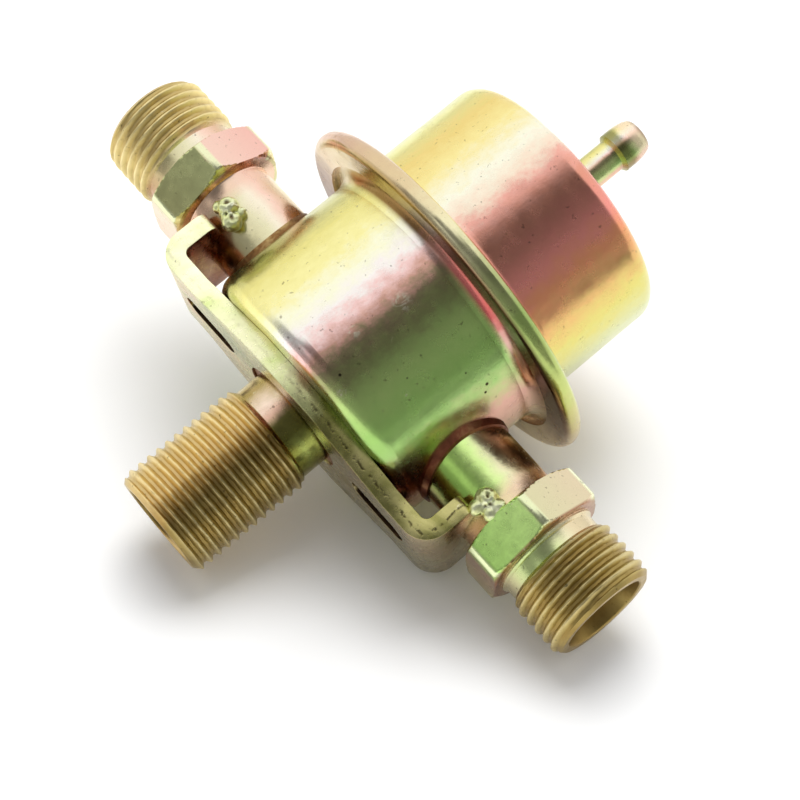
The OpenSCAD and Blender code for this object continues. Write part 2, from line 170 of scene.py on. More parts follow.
def lathe(name, rows, place):
    """Skin through rows of (height, radius or function of the angle), the last row joined to the first."""
    verts = []
    for h, radius in rows:
        for k in range(LATHE_STEPS):
            a = 2 * math.pi * k / LATHE_STEPS
            r = radius(a) if callable(radius) else radius
            verts.append(place @ Vector((r * math.cos(a), r * math.sin(a), h)) * MM)
    faces = []
    for i in range(len(rows)):
        here = i * LATHE_STEPS
        there = (i + 1) % len(rows) * LATHE_STEPS
        for k in range(LATHE_STEPS):
            m = (k + 1) % LATHE_STEPS
            faces.append((here + k, here + m, there + m, there + k))
    mesh = bpy.data.meshes.new(name)
    mesh.from_pydata(verts, [], faces)
    mesh.validate()
    return new_object(name, mesh)


def thread_height(u):
    """Share of a ridge's height at u pitches along it: narrow flat crest, straight flanks, wider root."""
    d = abs(u % 1.0 - 0.5) * 2
    return min(1.0, max(0.0, (ROOT_SHARE - d) / (ROOT_SHARE - CREST_SHARE)))


def threaded(h0, h1, entry, runout):
    """Rows of a right-hand thread from h0 to h1, kept under the entry bevel and the run-out."""
    rows = []
    count = round((h1 - h0) / PITCH * ROWS_PER_PITCH)
    for i in range(count + 1):
        h = h0 + (h1 - h0) * i / count

        def radius(a, h=h):
            r = THREAD_R - GROOVE * (1 - thread_height(h / PITCH - a / (2 * math.pi)))
            spot = Vector((math.cos(a) * WEAR_ROUND, math.sin(a) * WEAR_ROUND, h * WEAR_ALONG))
            r += WEAR * noise.noise(spot)
            return min(r, entry(h), runout(h))
        rows.append((h, radius))
    return rows


def hex_radius(turn, cone):
    """Radius of the hexagon by angle, with broken corners and cut back to a cone's radius."""
    def radius(a):
        b = (a - turn) % (math.pi / 3) - math.pi / 6
        return min(HEX_FLAT / 2 / math.cos(b), HEX_TIP - HEX_BREAK, cone)
    return radius


def union_mesh(name, side):
    """Tube, hexagon, collar, relief and thread of the union on one side, round its bore."""
    slope = math.tan(math.radians(CHAMFER_ANGLE))
    chamfer = CHAMFER_SHARE * (HEX_TIP - HEX_FLAT / 2) * slope
    cone = HEX_TIP - chamfer / slope
    turn = math.radians(90 - side * HEX_TURN)
    thread_from = X_THREAD - THREAD_START
    tube_l = X_HEX - 3 * SOFT - TUBE_END
    shares = [i / CHAMFER_ROWS for i in range(CHAMFER_ROWS + 1)]

    def on_chamfer(share):
        return hex_radius(turn, cone + (HEX_TIP - cone) * share)

    def entry(h):
        return ROOT_R + max(0.0, REACH - h)

    def runout(h):
        return ROOT_R + max(0.0, h - thread_from)

    rows = [(TUBE_END, BORE_R)]
    rows += [(TUBE_END + tube_l * i / TUBE_ROWS, TUBE_R) for i in range(TUBE_ROWS + 1)]
    rows += [(X_HEX - 0.8 * SOFT, TUBE_R + SOFT), (X_HEX, TUBE_R + 3 * SOFT)]
    rows += [(X_HEX, hex_radius(turn, cone - 2 * SOFT)), (X_HEX + 0.3 * SOFT, on_chamfer(0))]
    rows += [(X_HEX + chamfer * share, on_chamfer(share)) for share in shares[1:]]
    rows += [(X_HEX_OUT - chamfer * share, on_chamfer(share)) for share in reversed(shares)]
    rows += [(X_HEX_OUT, COLLAR_R + SOFT), (X_HEX_OUT + 0.8 * SOFT, COLLAR_R)]
    rows += [(X_RELIEF - 0.5 * SOFT, COLLAR_R), (X_RELIEF + SOFT, COLLAR_R - SOFT)]
    rows += [(X_RELIEF + 3 * SOFT, ROOT_R + 0.5 * SOFT), (X_RELIEF + 5 * SOFT, ROOT_R)]
    rows += [(thread_from - 0.5 * SOFT, ROOT_R)]
    rows += threaded(thread_from, REACH, entry, runout)
    rows += [(REACH, MOUTH_R + 2 * SOFT), (REACH - 1.5 * SOFT, MOUTH_R), (REACH - CONE_L, BORE_R)]
    place = Matrix.Translation((0, 0, Z_AXIS)) @ Matrix.Rotation(math.radians(90 * side), 4, "Y")
    return lathe(name, rows, place)


def stub_mesh(name):
    """Thread and shank of the return stub, round its bore and the pocket of the valve seat."""
    shank_l = STUB_TOP - STUB_NECK

    def entry(h):
        return ROOT_R + max(0.0, h - STUB_END)

    def runout(h):
        return SHANK_R + max(0.0, STUB_NECK - h)

    rows = [(STUB_END + CONE_L, BORE_R), (STUB_END + 1.5 * SOFT, MOUTH_R), (STUB_END, MOUTH_R + 2 * SOFT)]
    rows += threaded(STUB_END, STUB_NECK + 0.5 * SOFT, entry, runout)
    rows += [(STUB_NECK + shank_l * i / SHANK_ROWS, SHANK_R) for i in range(1, SHANK_ROWS + 1)]
    rows += [(STUB_TOP, SEAT_R), (STUB_TOP - SEAT_L, SEAT_R), (STUB_TOP - SEAT_L, BORE_R)]
    return lathe(name, rows, Matrix.Identity(4))


# Copied mesh: gap under which points are joined, and the angles of edges that go and that are broken
MERGE_GAP = 0.002
FLAT_ANGLE = 0.5
SHARP_ANGLE = 35


def rounded_copy(name, node, width):
    """Copy of a node's mesh with its sharp edges broken."""
    bm = bmesh.new()
    bm.from_mesh(nodes[node].data)
    bmesh.ops.remove_doubles(bm, verts=bm.verts, dist=MERGE_GAP * MM)
    bmesh.ops.dissolve_limit(bm, angle_limit=math.radians(FLAT_ANGLE), verts=bm.verts, edges=bm.edges)
    sharp = math.radians(SHARP_ANGLE)
    edges = [e for e in bm.edges if e.is_manifold and e.calc_face_angle(0) > sharp]
    bmesh.ops.bevel(bm, geom=edges, offset=width * MM, segments=3, profile=0.5, affect="EDGES",
                    clamp_overlap=True)
    bmesh.ops.triangulate(bm, faces=[f for f in bm.faces if len(f.verts) > 4])
    mesh = bpy.data.meshes.new(name)
    bm.to_mesh(mesh)
    bm.free()
    return new_object(name, mesh, 40)


# Weld lumps: how tightly they run together, least radius, and height and rate of the rough skin
LUMP_JOIN = 6.0
LUMP_LEAST = 0.6
WAVES = 0.10
WAVE_RATE = 2.6
GRAINS = 0.05
GRAIN_RATE = 6.0


def weld_bead(name, side, face, shift, lumps, pits, seed):
    """Lumps of weld metal run together, seen from one point inside them, with pits and a rough skin."""
    z = Z_EAR + WELD_UP * WELD_R
    y = face * (math.sqrt(TUBE_R ** 2 - (Z_AXIS - z) ** 2) + WELD_OUT * WELD_R)
    centre = Vector((side * WELD_X, y, z)) + Vector(shift)
    turn = Matrix.Diagonal((1, face, 1))
    least = math.exp(LUMP_JOIN * LUMP_LEAST)
    bm = bmesh.new()
    bmesh.ops.create_icosphere(bm, subdivisions=BEAD_LEVELS, radius=1.0)
    hollow = []
    for v in bm.verts:
        d = v.co.normalized()
        total = 0.0
        for at, r in lumps:
            b = Vector(at).dot(d)
            inside = b * b - Vector(at).length_squared + r * r
            if inside > 0:
                total += math.exp(LUMP_JOIN * (b + math.sqrt(inside)))
        size = math.log(max(total, least)) / LUMP_JOIN
        drops = [depth * math.exp(-(d.angle(Vector(at)) / width) ** 2) for at, depth, width in pits]
        size -= sum(drops)
        hollow.append(max(drops))
        size += WAVES * noise.noise(d * WAVE_RATE + Vector((seed, 0, 0)))
        size += GRAINS * noise.noise(d * GRAIN_RATE + Vector((0, seed, 0)))
        v.co = (centre + turn @ (d * size)) * MM
    bmesh.ops.recalc_face_normals(bm, faces=bm.faces)
    mesh = bpy.data.meshes.new(name)
    bm.to_mesh(mesh)
    bm.free()
    shade = mesh.attributes.new("hollow", "FLOAT", "POINT")
    for i, value in enumerate(hollow):
        shade.data[i].value = value
    return new_object(name, mesh, 70)


# Materials

def srgb(r, g, b):
    """Scene colour of a screen colour given from 0 to 255."""
    def linear(c):
        c = c / 255
        return c / 12.92 if c <= 0.04045 else ((c + 0.055) / 1.055) ** 2.4
    return linear(r), linear(g), linear(b)


class Nodes:
    """Short hand for building one material's node tree."""

    def __init__(self, name):
        self.mat = bpy.data.materials.new(name)
        self.mat.use_nodes = True
        self.tree = self.mat.node_tree
        self.tree.nodes.clear()
        out = self.add("ShaderNodeOutputMaterial")
        self.bsdf = self.add("ShaderNodeBsdfPrincipled")
        self.link(self.bsdf.outputs[0], out.inputs[0])
        where = self.add("ShaderNodeTexCoord")
        self.coord = where.outputs["Object"]
        self.normal = where.outputs["Normal"]

    def add(self, kind, **settings):
        node = self.tree.nodes.new(kind)
        for key, value in settings.items():
            setattr(node, key, value)
        return node

    def link(self, a, b):
        self.tree.links.new(a, b)

    def put(self, value, socket):
        """Link a socket's value, or set a plain one."""
        if isinstance(value, bpy.types.NodeSocket):
            self.link(value, socket)
        else:
            socket.default_value = value

    def math(self, op, a, b=0.0, c=0.0):
        node = self.add("ShaderNodeMath", operation=op)
        for value, socket in zip((a, b, c), node.inputs):
            self.put(value, socket)
        return node.outputs[0]

    def times(self, first, *others):
        """Product of two or more values."""
        for other in others:
            first = self.math("MULTIPLY", first, other)
        return first

    def scaled(self, value, factor, plus):
        """A value times a factor, plus another value."""
        return self.math("MULTIPLY_ADD", value, factor, plus)

    def across(self, a, b):
        """Distance from an axis, from the two coordinates across it."""
        return self.math("SQRT", self.math("ADD", self.times(a, a), self.times(b, b)))

    def noise(self, scale, detail=3.0, rough=0.6, stretch=(1, 1, 1), distort=0.0, offset=(0, 0, 0)):
        place = self.add("ShaderNodeMapping")
        self.link(self.coord, place.inputs["Vector"])
        place.inputs["Scale"].default_value = stretch
        place.inputs["Location"].default_value = offset
        node = self.add("ShaderNodeTexNoise")
        self.link(place.outputs[0], node.inputs["Vector"])
        node.inputs["Scale"].default_value = scale
        node.inputs["Detail"].default_value = detail
        node.inputs["Roughness"].default_value = rough
        node.inputs["Distortion"].default_value = distort
        return node.outputs["Fac"]

    def ramp(self, value, stops):
        """Colour along stops of (place from 0 to 1, screen colour)."""
        node = self.add("ShaderNodeValToRGB")
        items = node.color_ramp.elements
        while len(items) < len(stops):
            items.new(0.5)
        for item, (place, colour) in zip(items, stops):
            item.position = place
            item.color = (*srgb(*colour), 1)
        self.put(value, node.inputs[0])
        return node.outputs[0]

    def span(self, value, low, high, to_low=0.0, to_high=1.0):
        """A value's way from low to high, as a clamped way from to_low to to_high."""
        node = self.add("ShaderNodeMapRange", clamp=True)
        self.put(value, node.inputs["Value"])
        for key, v in (("From Min", low), ("From Max", high), ("To Min", to_low), ("To Max", to_high)):
            self.put(v, node.inputs[key])
        return node.outputs[0]

    def band(self, value, low, high, to_low=0.0, to_high=1.0):
        """The same with low and high in millimetres."""
        return self.span(value, low * MM, high * MM, to_low, to_high)

    def rough(self, grain, low, high):
        """Roughness that follows the middle of a noise's range."""
        return self.span(grain, 0.3, 0.7, low, high)

    def mix(self, fac, a, b):
        """From a to b, each a socket or a screen colour."""
        node = self.add("ShaderNodeMix", data_type="RGBA")
        self.put(fac, node.inputs[0])
        for value, socket in ((a, node.inputs[6]), (b, node.inputs[7])):
            if isinstance(value, tuple):
                value = (*srgb(*value), 1)
            self.put(value, socket)
        return node.outputs[2]

    def near(self, centre, size):
        """1 at a point, fading to 0 at a distance in millimetres."""
        node = self.add("ShaderNodeVectorMath", operation="DISTANCE")
        self.link(self.coord, node.inputs[0])
        node.inputs[1].default_value = centre
        return self.band(node.outputs["Value"], 0.5 * size, size, 1.0, 0.0)

    def xyz(self, source=None):
        node = self.add("ShaderNodeSeparateXYZ")
        self.link(source or self.coord, node.inputs[0])
        return list(node.outputs)

    def bump(self, height, strength, distance):
        """Bump on the skin, with its distance in millimetres."""
        node = self.add("ShaderNodeBump")
        node.inputs["Strength"].default_value = strength
        node.inputs["Distance"].default_value = distance * MM
        self.link(height, node.inputs["Height"])
        self.link(node.outputs[0], self.bsdf.inputs["Normal"])

    def finish(self, colour, metallic, roughness):
        self.put(colour, self.bsdf.inputs["Base Color"])
        self.put(metallic, self.bsdf.inputs["Metallic"])
        self.put(roughness, self.bsdf.inputs["Roughness"])
        return self.mat


# Colours of the plated film over the seen half turn, from one edge to the other; the back repeats them.
# Besides the film's tints they hold painted highlights and painted shade.
CUP_FILM_AND_HIGHLIGHT = [
    (0.00, (190, 190, 116)), (0.12, (200, 196, 120)), (0.20, (238, 228, 140)), (0.27, (252, 244, 170)),
    (0.33, (255, 254, 222)), (0.38, (255, 248, 242)), (0.415, (253, 212, 206)), (0.445, (226, 176, 158)),
    (0.475, (168, 154, 118)), (0.51, (176, 182, 122)), (0.56, (190, 218, 134)), (0.65, (166, 208, 116)),
    (0.71, (168, 204, 124)), (0.76, (192, 194, 138)), (0.81, (216, 168, 152)), (0.92, (220, 180, 148)),
    (1.00, (190, 190, 116))]
COVER_FILM_AND_HIGHLIGHT = [
    (0.00, (200, 206, 150)), (0.10, (226, 222, 136)), (0.19, (242, 216, 132)), (0.27, (252, 236, 160)),
    (0.35, (255, 253, 230)), (0.40, (254, 232, 208)), (0.44, (248, 182, 166)), (0.50, (236, 162, 138)),
    (0.58, (252, 160, 148)), (0.65, (252, 170, 124)), (0.71, (232, 184, 120)), (0.79, (222, 212, 122)),
    (0.88, (212, 216, 160)), (1.00, (200, 206, 150))]
RIM_FILM_AND_HIGHLIGHT = [
    (0.00, (212, 176, 146)), (0.15, (216, 180, 152)), (0.30, (230, 206, 162)), (0.42, (248, 240, 196)),
    (0.50, (192, 196, 140)), (0.60, (160, 184, 106)), (0.76, (196, 206, 124)), (0.90, (206, 190, 130)),
    (1.00, (212, 176, 146))]
# Darker copy of the rim's film for its downward faces: painted shade.
RIM_BELOW_SHADED = [
    (0.00, (222, 196, 156)), (0.14, (232, 212, 166)), (0.24, (170, 140, 74)), (0.40, (146, 116, 66)),
    (0.48, (128, 84, 68)), (0.60, (80, 52, 40)), (0.74, (88, 60, 44)), (0.90, (150, 116, 88)),
    (1.00, (222, 196, 156))]
# The fillet's film, darkened with painted shade in that corner.
FILLET_FILM_SHADED = [
    (0.00, (206, 190, 136)), (0.13, (196, 166, 104)), (0.22, (150, 118, 62)), (0.36, (142, 108, 70)),
    (0.43, (176, 126, 112)), (0.50, (214, 124, 116)), (0.60, (206, 104, 100)), (0.68, (226, 184, 170)),
    (0.80, (222, 172, 158)), (1.00, (206, 190, 136))]
# The neck's film carries a painted highlight and painted shade where the bracket and thread shade it.
NECK_FILM_LIT_AND_SHADED = [
    (0.00, (200, 190, 140)), (0.20, (196, 172, 114)), (0.34, (253, 230, 208)), (0.42, (230, 188, 164)),
    (0.49, (150, 144, 80)), (0.60, (108, 108, 52)), (0.75, (206, 222, 124)), (0.86, (150, 146, 78)),
    (1.00, (200, 190, 140))]
# The thread's film: painted light on its top side and painted shade below.
THREAD_FILM_LIT_AND_SHADED = [
    (0.00, (200, 180, 120)), (0.20, (240, 210, 146)), (0.38, (248, 214, 154)), (0.46, (196, 156, 94)),
    (0.54, (128, 106, 58)), (0.80, (118, 98, 52)), (0.94, (170, 150, 96)), (1.00, (200, 180, 120))]
FILM_START = math.radians(-160.8)

# How far the film's edges wander, as shares of half a turn
WALL_DRIFT = 0.08
RIM_DRIFT = 0.14
NECK_DRIFT = 0.12
THREAD_DRIFT = 0.10
NIPPLE_DRIFT = 0.2
CLOSE_DRIFT = 0.09

# Colours round a union, from its back down under it, past its front and over its top
HEX_LEFT = [
    (0.10, (224, 190, 160)), (0.30, (236, 214, 184)), (0.35, (206, 206, 146)), (0.50, (212, 218, 156)),
    (0.52, (250, 214, 196)), (0.67, (248, 196, 182)), (0.69, (232, 222, 170)), (0.90, (206, 206, 146))]
HEX_RIGHT = [
    (0.10, (200, 196, 140)), (0.30, (190, 150, 122)), (0.35, (196, 242, 134)), (0.50, (214, 250, 154)),
    (0.52, (226, 220, 176)), (0.67, (232, 214, 180)), (0.69, (214, 216, 150)), (0.90, (206, 190, 146))]
# The tubes' colours carry a painted highlight over their front and painted shade under them.
TUBE_LEFT_LIT_AND_SHADED = [
    (0.10, (222, 196, 160)), (0.30, (190, 150, 110)), (0.42, (214, 204, 156)), (0.50, (236, 230, 190)),
    (0.545, (254, 242, 218)), (0.585, (254, 216, 196)), (0.63, (234, 196, 162)), (0.72, (224, 218, 174)),
    (0.90, (222, 196, 160))]
TUBE_RIGHT_LIT_AND_SHADED = [
    (0.10, (206, 190, 150)), (0.30, (176, 166, 114)), (0.39, (168, 214, 102)), (0.45, (208, 252, 138)),
    (0.50, (226, 254, 164)), (0.545, (252, 248, 200)), (0.585, (240, 216, 172)), (0.63, (206, 182, 140)),
    (0.90, (206, 190, 150))]

# Colours that follow a noise
TOP_FILM = [
    (0.24, (206, 214, 140)), (0.40, (236, 226, 150)), (0.52, (246, 234, 180)), (0.66, (242, 210, 170)),
    (0.82, (222, 196, 142))]
STRIP_BELOW = [(0.30, (190, 196, 150)), (0.50, (224, 218, 172)), (0.70, (232, 204, 172))]
# The strip's inside is brown with painted shade.
STRIP_INSIDE_SHADE = [(0.30, (110, 62, 44)), (0.52, (150, 92, 66)), (0.72, (184, 140, 96))]
# Cut edges: pale where lit, olive with painted shade.
EDGE_PALE_LIT = [(0.28, (222, 236, 156)), (0.50, (252, 250, 208)), (0.72, (255, 252, 234))]
EDGE_OLIVE_SHADED = [(0.28, (124, 126, 66)), (0.50, (168, 164, 98)), (0.72, (226, 216, 150))]
# Thread tan, paler on the crests with a painted highlight and darker in the grooves with painted shade.
THREAD_TAN_LIT_CRESTS = [
    (0.15, (160, 132, 74)), (0.40, (206, 186, 116)), (0.62, (234, 216, 150)), (0.88, (250, 238, 186))]
WELD_PALE = [(0.25, (206, 204, 126)), (0.50, (240, 246, 186)), (0.75, (254, 255, 226))]

# Single colours of marks, stains and stretches, some of them painted light or shade
PIT_BROWN = (74, 58, 36)
PIT_DARK = (58, 48, 30)
NICK_PALE = (250, 244, 214)
SCRATCH_PALE = (236, 230, 204)
# Painted shade on the strip's right end.
STRIP_RIGHT_SHADE = (140, 120, 82)
TEAR_BROWN = (70, 58, 28)
# Painted shade in the slots.
SLOT_SHADE = (56, 40, 26)
THREAD_STAIN = (128, 98, 50)
# Painted light on the left thread, painted shade on the right one.
LEFT_THREAD_LIGHT = (255, 230, 164)
RIGHT_THREAD_SHADE = (150, 126, 70)
# Painted highlight on the hexagon's corners.
CORNER_HIGHLIGHT = (246, 252, 204)
TUBE_PINK = (250, 206, 184)
NECK_CREAM = (236, 226, 190)
# Painted shade on the right hexagon's outer shoulder.
SHOULDER_SHADE = (164, 110, 82)
STEM_CREAM = (240, 226, 172)
# Painted shade where the nipple's bulb meets its stem.
FOOT_SHADE_OLIVE = (112, 112, 58)
BULB_PINK = (236, 208, 184)
BULB_END = (150, 128, 104)
WELD_BROWN = (92, 66, 34)

# Marks on the cup: turn round the axis in degrees, height and size in millimetres
SCRATCHES = [(-77.9, 17.5, 1.5), (-80.5, 10.5, 1.0), (-66.0, 4.5, 0.9)]
PITS = [(-31.4, 20.1, 0.30), (-28.6, 19.4, 0.26), (-41.5, 18.5, 0.16), (-71.6, 5.6, 0.24),
        (-55.0, 12.0, 0.14)]

# Bump distances in millimetres
FINE_BUMP = 0.1
STRIP_BUMP = 0.12
ROUGH_BUMP = 0.25


def scuffs(n, colour, amount):
    """Small dark pits and pale nicks over a colour."""
    pits = n.noise(1500, 2.0, 0.5)
    colour = n.mix(n.span(pits, 0.68, 0.75, 0.0, amount), colour, PIT_BROWN)
    nicks = n.noise(420, 4.0, 0.7, stretch=(1, 0.35, 1), distort=0.8, offset=(0.3, 0.2, 0.7))
    return n.mix(n.span(nicks, 0.69, 0.74, 0.0, 0.8 * amount), colour, NICK_PALE)


def on_cup(turn, height):
    """Point on the cup's wall."""
    a = math.radians(turn)
    return Vector((CUP_R * math.cos(a), CUP_R * math.sin(a), height)) * MM


def marks(n, colour):
    """The cup's own scratches and pits."""
    streaks = n.span(n.noise(900, stretch=(1, 1, 0.6), distort=1.2), 0.50, 0.56)
    for turn, height, size in SCRATCHES:
        near = n.near(on_cup(turn, height), size)
        colour = n.mix(n.times(near, streaks, 0.6), colour, SCRATCH_PALE)
    for turn, height, size in PITS:
        colour = n.mix(n.near(on_cup(turn, height), size), colour, PIT_DARK)
    return colour


def film_round(n, stops, drift, offset=(0, 0, 0)):
    """Film colours laid round the part's own axis, with edges that wander."""
    x, y, _ = n.xyz()
    turn = n.scaled(n.math("ARCTAN2", y, x), 1 / math.pi, -FILM_START / math.pi)
    wide = n.noise(60, 2.0, 0.5, stretch=(1, 1, 0.5), distort=0.4, offset=offset)
    close = n.noise(650, 3.0, 0.65, stretch=(1, 1, 0.7))
    shift = n.scaled(wide, drift, n.scaled(close, CLOSE_DRIFT, -0.5 * (drift + CLOSE_DRIFT)))
    return n.ramp(n.math("FRACT", n.math("ADD", turn, shift)), stops)


def can_material(name, stops, offset, marked=False):
    """Drawn steel with film of its own on the wall, top, fillet, rim and the rim's underside, with painted
    highlights and painted shade in the film.
    """
    n = Nodes(name)
    x, y, _ = n.xyz()
    nz = n.xyz(n.normal)[2]
    radius = n.across(x, y)
    # The wall's film carries a painted highlight and a painted darker band.
    colour = film_round(n, stops, WALL_DRIFT, offset)
    on_top = n.times(n.span(nz, 0.6, 0.95), n.band(radius, TOP_R, TOP_R + 2, 1.0, 0.0))
    cloud = n.noise(60, 2.0, 0.5, distort=0.3, offset=offset)
    colour = n.mix(on_top, colour, n.ramp(cloud, TOP_FILM))
    # The fillet's film carries painted shade.
    fillet = film_round(n, FILLET_FILM_SHADED, WALL_DRIFT, offset)
    colour = n.mix(n.band(radius, FILLET_IN, FILLET_IN + 0.3), colour, fillet)
    rim = film_round(n, RIM_FILM_AND_HIGHLIGHT, RIM_DRIFT, offset)
    # The rim's downward faces take a darker copy of its film: painted shade.
    below = film_round(n, RIM_BELOW_SHADED, RIM_DRIFT, offset)
    rim = n.mix(n.span(nz, -0.9, -0.5, 1.0, 0.0), rim, below)
    colour = n.mix(n.band(radius, FLANGE_IN - 1, FLANGE_IN), colour, rim)
    colour = scuffs(n, colour, 0.5)
    if marked:
        colour = marks(n, colour)
    fine = n.noise(420)
    peel = n.noise(1200, 2.0, 0.5)
    drawn = n.noise(900, 2.0, 0.5, stretch=(1, 1, 0.05))
    skin = n.scaled(peel, 0.35, n.times(fine, 0.6))
    n.bump(n.scaled(drawn, 0.3, skin), 0.22, FINE_BUMP)
    return n.finish(colour, 1.0, n.rough(fine, 0.18, 0.30))


def strip_material(name):
    """Bracket strip: cut edges pale where lit on the left and olive with painted shade on the right,
    grey-green below and browner to the right with painted shade, brown painted shade inside.
    """
    n = Nodes(name)
    x, y, z = n.xyz()
    nx, ny, nz = n.xyz(n.normal)
    along = n.math("ABSOLUTE", x)
    cloud = n.noise(110, 4.0, distort=0.6)
    toward_shaded_right = n.band(n.scaled(n.math("SUBTRACT", cloud, 0.5), 30 * MM, x), -4, 5)
    # Painted shade: brown towards the strip's right end, and on the faces inside its bend.
    below = n.mix(n.times(toward_shaded_right, 0.7), n.ramp(cloud, STRIP_BELOW), STRIP_RIGHT_SHADE)
    inwards = n.times(nx, n.math("SIGN", x), -1.0)
    inside_shade = n.span(n.math("MAXIMUM", nz, inwards), 0.35, 0.75)
    colour = n.mix(inside_shade, below, n.ramp(cloud, STRIP_INSIDE_SHADE))

    # The cut edges are torn along a ragged line
    depth = n.math("MINIMUM", z, n.math("SUBTRACT", X_EAR_OUT * MM, along))
    line = n.scaled(n.noise(700, 3.0, 0.65, stretch=(1, 1, 0.4)), 1.3 * MM, 0.55 * MM)
    tear = n.band(n.math("ABSOLUTE", n.math("SUBTRACT", depth, line)), 0.05, 0.30, 1.0, 0.0)
    flecks = n.span(n.noise(1300, 2.0, distort=0.3), 0.46, 0.60)
    torn = n.times(tear, flecks, n.scaled(toward_shaded_right, 0.65, 0.2))
    # Cut edges pale where lit on the left, olive with painted shade on the right.
    cut = n.mix(toward_shaded_right, n.ramp(cloud, EDGE_PALE_LIT), n.ramp(cloud, EDGE_OLIVE_SHADED))
    cut = n.mix(torn, cut, TEAR_BROWN)
    is_cut = n.span(n.math("ABSOLUTE", ny), 0.45, 0.75)
    colour = n.mix(is_cut, colour, cut)

    # Painted shade darkens the slots, and the pale cut edge is frosted
    in_slot = n.band(n.math("ABSOLUTE", y), SLOT_HALF + 0.1, SLOT_HALF + 0.5, 1.0, 0.0)
    colour = n.mix(n.times(in_slot, is_cut), colour, SLOT_SHADE)
    colour = scuffs(n, colour, 0.55)
    frosted = n.times(n.math("SUBTRACT", is_cut, in_slot), n.math("SUBTRACT", 1.0, toward_shaded_right))
    fine = n.noise(520)
    n.bump(n.scaled(n.times(torn, is_cut), -1.4, fine), 0.22, STRIP_BUMP)
    metal = n.span(frosted, 0.0, 1.0, 1.0, 0.5)
    return n.finish(colour, metal, n.rough(fine, 0.20, 0.34))


def thread_colour(n, radius, patch):
    """Dull tan of a cut thread, paler on its crests with a painted highlight and darker in its grooves
    with painted shade, with dark stains.
    """
    height = n.band(radius, THREAD_R - GROOVE, THREAD_R)
    tan = n.ramp(n.scaled(patch, 0.5, n.times(height, 0.5)), THREAD_TAN_LIT_CRESTS)
    stain = n.noise(480, 4.0, 0.7, distort=0.6)
    return n.mix(n.span(stain, 0.52, 0.74, 0.0, 0.5), tan, THREAD_STAIN)


def turned_finish(n, plain, cut, is_thread, patch):
    """Common skin of the turned pieces: fine grain, and threads duller than the rest."""
    grain = n.noise(700)
    colour = scuffs(n, n.mix(is_thread, plain, cut), 0.6)
    rough = n.scaled(is_thread, 0.14, n.rough(grain, 0.18, 0.30))
    n.bump(n.scaled(patch, 0.5, grain), 0.22, FINE_BUMP)
    return n.finish(colour, 1.0, rough)


def union_material(name):
    """Plated turned steel with film of its own on the hexagon, the tube and the neck of each union, and
    painted light and shade on tubes, corners, shoulder and threads.
    """
    n = Nodes(name)
    x, y, z = n.xyz()
    along = n.math("ABSOLUTE", x)
    is_right = n.band(x, -1, 1)
    up_from_axis = n.math("SUBTRACT", z, Z_AXIS * MM)
    radius = n.across(y, up_from_axis)
    patch = n.noise(130, distort=0.4)
    turn = n.math("ARCTAN2", up_from_axis, n.times(y, -1.0))
    place = n.scaled(turn, 0.5 / math.pi, n.scaled(patch, 0.08, 0.46))

    # Hexagon, with a painted highlight along its corners
    hexagon = n.mix(is_right, n.ramp(place, HEX_LEFT), n.ramp(place, HEX_RIGHT))
    corners = n.math("COSINE", n.scaled(turn, 6.0, math.radians(-6 * HEX_TURN)))
    hexagon = n.mix(n.span(corners, 0.92, 0.985, 0.0, 0.85), hexagon, CORNER_HIGHLIGHT)

    # Tube, with painted highlight and shade, pink beside the hexagon, and neck, cream on the right
    round_part = n.mix(is_right, n.ramp(place, TUBE_LEFT_LIT_AND_SHADED), n.ramp(place, TUBE_RIGHT_LIT_AND_SHADED))
    at_hexagon = n.band(along, X_HEX - 3.5, X_HEX - 1.5, 0.0, 0.7)
    on_tube = n.band(along, X_HEX, X_HEX_OUT, 1.0, 0.0)
    round_part = n.mix(n.times(at_hexagon, on_tube), round_part, TUBE_PINK)
    at_neck = n.band(along, X_HEX_OUT, X_HEX_OUT + 0.1, 0.0, 0.45)
    round_part = n.mix(n.times(at_neck, is_right), round_part, NECK_CREAM)
    plain = n.mix(n.band(radius, THREAD_R, THREAD_R + 0.2), round_part, hexagon)

    # Painted shade in brown on the right hexagon's outer shoulder
    outer_edge = n.band(along, X_HEX_OUT - 0.4, X_HEX_OUT - 0.1, 0.0, 0.85)
    past_edge = n.band(along, X_HEX_OUT + 0.02, X_HEX_OUT + 0.1)
    shoulder = n.times(outer_edge, n.math("SUBTRACT", is_right, past_edge))
    plain = n.mix(n.math("MAXIMUM", shoulder, 0.0), plain, SHOULDER_SHADE)

    # Thread, with painted light on the left and painted shade on the right
    is_thread = n.band(along, X_THREAD - THREAD_START, X_THREAD + 0.4)
    cut = thread_colour(n, radius, patch)
    cut = n.mix(n.span(is_right, 0.0, 1.0, 0.35, 0.0), cut, LEFT_THREAD_LIGHT)
    cut = n.mix(n.times(is_right, 0.40), cut, RIGHT_THREAD_SHADE)
    return turned_finish(n, plain, cut, is_thread, patch)


def stub_material(name):
    """Plated turned steel with film round the stub's neck, and film and tan mixed on its thread, both with
    painted highlights and painted shade.
    """
    n = Nodes(name)
    x, y, z = n.xyz()
    radius = n.across(x, y)
    patch = n.noise(130, distort=0.4)
    is_thread = n.band(z, STUB_NECK - 0.9, STUB_NECK - 0.2, 1.0, 0.0)
    neck = film_round(n, NECK_FILM_LIT_AND_SHADED, NECK_DRIFT)
    cut = n.mix(0.55, thread_colour(n, radius, patch), film_round(n, THREAD_FILM_LIT_AND_SHADED, THREAD_DRIFT))
    return turned_finish(n, neck, cut, is_thread, patch)


